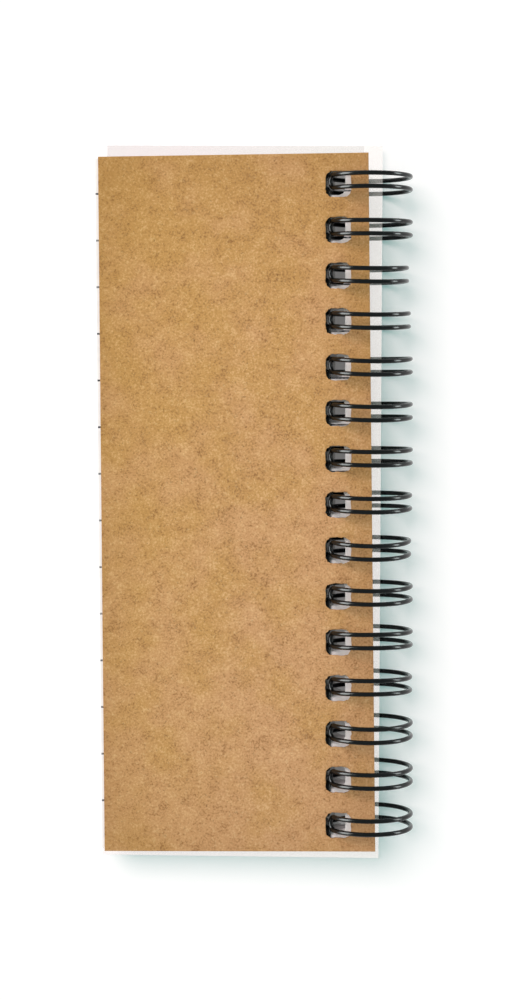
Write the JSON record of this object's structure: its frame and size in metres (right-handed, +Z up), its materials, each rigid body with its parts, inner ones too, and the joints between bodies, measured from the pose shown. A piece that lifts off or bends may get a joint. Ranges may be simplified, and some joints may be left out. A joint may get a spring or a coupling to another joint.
{
  "type": "twin-loop wire-bound notebook",
  "caption": "Slim pocket notebook with a kraft card back cover, a ruled page block and a frosted front cover, bound on its long side by black double-loop wire.",
  "frame": {"origin": "middle of the notebook's outline, on the surface it lies on", "axes": "+X across the sheets towards the wire loops, +Y along the binding towards the head of the sheets, +Z up, out of the kraft back cover, as the notebook lies face down"},
  "size_m": [0.0592, 0.1354, 0.0167],
  "materials": {
    "kraft_card": "uncoated",
    "page_paper": "uncoated",
    "frosted_film": "frosted",
    "coated_wire": "gloss"
  },
  "bodies": {
    "bound_pages": {"page_block": "page_paper", "twin_loop_wire": "coated_wire"},
    "back_cover": {"back_cover": "kraft_card"},
    "front_cover": {"front_cover": "frosted_film"}
  },
  "joints": [
    {"name": "back_cover_hinge", "type": "hinge", "parent": "bound_pages", "child": "back_cover", "pos_m": [0.02228, 0.00035, 0.00837], "axis": [0, 1, 0], "range_deg": [0, 180]},
    {"name": "front_cover_hinge", "type": "hinge", "parent": "bound_pages", "child": "front_cover", "pos_m": [0.02128, 0.00035, 0.00834], "axis": [0, -1, 0], "range_deg": [0, 180]}
  ]
}
